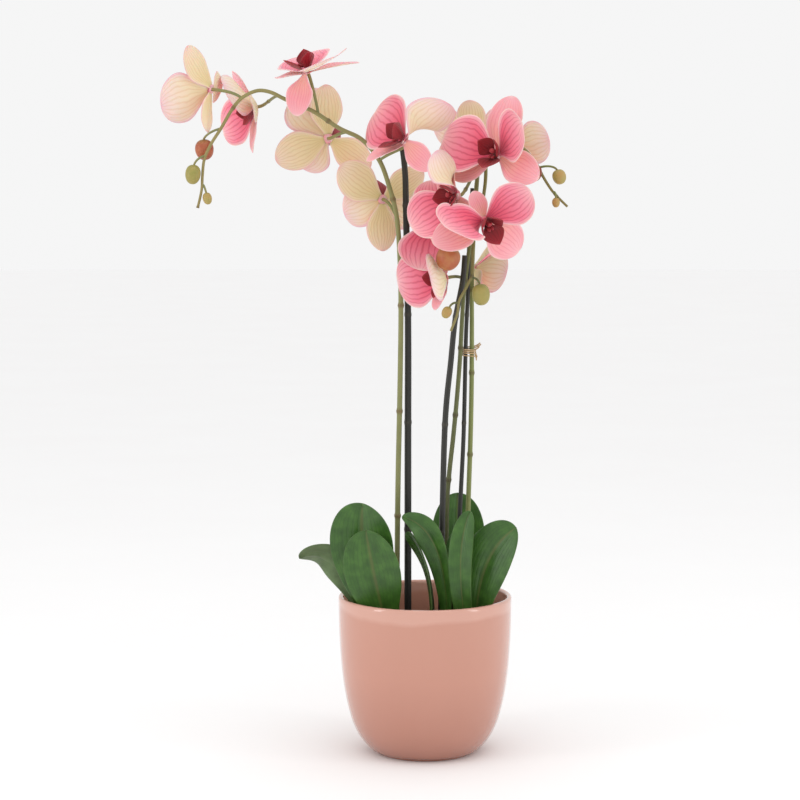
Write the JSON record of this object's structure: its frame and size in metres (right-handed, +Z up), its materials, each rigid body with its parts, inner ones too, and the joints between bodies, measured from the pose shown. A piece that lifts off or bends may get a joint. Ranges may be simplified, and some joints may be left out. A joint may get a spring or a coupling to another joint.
{
  "type": "potted orchid",
  "caption": "Potted moth orchid: round glazed pot, strap leaves, arching flower spikes tied to thin stakes, with open flowers and buds.",
  "frame": {"origin": "centre of the pot's flat underside, on the surface it stands on", "axes": "+Z up the plant, -Z out of the pot's underside, -Y to the front where most of the flowers face, +X to the plant's right as seen from the front"},
  "size_m": [0.3939, 0.2181, 0.6967],
  "materials": {
    "glazed_pot": "glossy peach-pink ceramic glaze",
    "bark": "rough chipped bark",
    "stake_lacquer": "satin black-stained bamboo",
    "spike_green": "satin olive green stem",
    "leaf_green": "satin waxy dark green leaf",
    "raffia": "dry straw-coloured fibre",
    "sepal_cream": "matt soft cream to pink",
    "petal_pink": "matt soft pink with a pale edge",
    "lip_red": "satin deep red"
  },
  "bodies": {
    "root": {"pot": "glazed_pot", "growing_medium": "bark", "stake_left": "stake_lacquer", "stake_middle": "stake_lacquer", "stake_right": "stake_lacquer", "spike_left": "spike_green", "spike_middle": "spike_green", "spike_right": "spike_green", "raffia_tie": "raffia", "leaf_1": "leaf_green", "leaf_2": "leaf_green", "leaf_3": "leaf_green", "leaf_4": "leaf_green", "leaf_5": "leaf_green", "leaf_6": "leaf_green", "leaf_7": "leaf_green", "leaf_8": "leaf_green", "leaf_9": "leaf_green", "flower_01_sepals": "sepal_cream", "flower_01_petals": "petal_pink", "flower_01_lip": "lip_red", "flower_02_sepals": "sepal_cream", "flower_02_petals": "petal_pink", "flower_02_lip": "lip_red", "flower_03_sepals": "sepal_cream", "flower_03_petals": "petal_pink", "flower_03_lip": "lip_red", "flower_04_sepals": "sepal_cream", "flower_04_petals": "petal_pink", "flower_04_lip": "lip_red", "flower_05_sepals": "sepal_cream", "flower_05_petals": "petal_pink", "flower_05_lip": "lip_red", "flower_06_sepals": "sepal_cream", "flower_06_petals": "petal_pink", "flower_06_lip": "lip_red", "flower_07_sepals": "sepal_cream", "flower_07_petals": "petal_pink", "flower_07_lip": "lip_red", "flower_08_sepals": "sepal_cream", "flower_08_petals": "petal_pink", "flower_08_lip": "lip_red", "flower_09_sepals": "sepal_cream", "flower_09_petals": "petal_pink", "flower_09_lip": "lip_red", "flower_10_sepals": "sepal_cream", "flower_10_petals": "petal_pink", "flower_10_lip": "lip_red", "flower_11_sepals": "sepal_cream", "flower_11_petals": "petal_pink", "flower_11_lip": "lip_red", "flower_12_sepals": "sepal_cream", "flower_12_petals": "petal_pink", "flower_12_lip": "lip_red", "flower_13_sepals": "sepal_cream", "flower_13_petals": "petal_pink", "flower_13_lip": "lip_red", "flower_14_sepals": "sepal_cream", "flower_14_petals": "petal_pink", "flower_14_lip": "lip_red"}
  },
  "joints": []
}
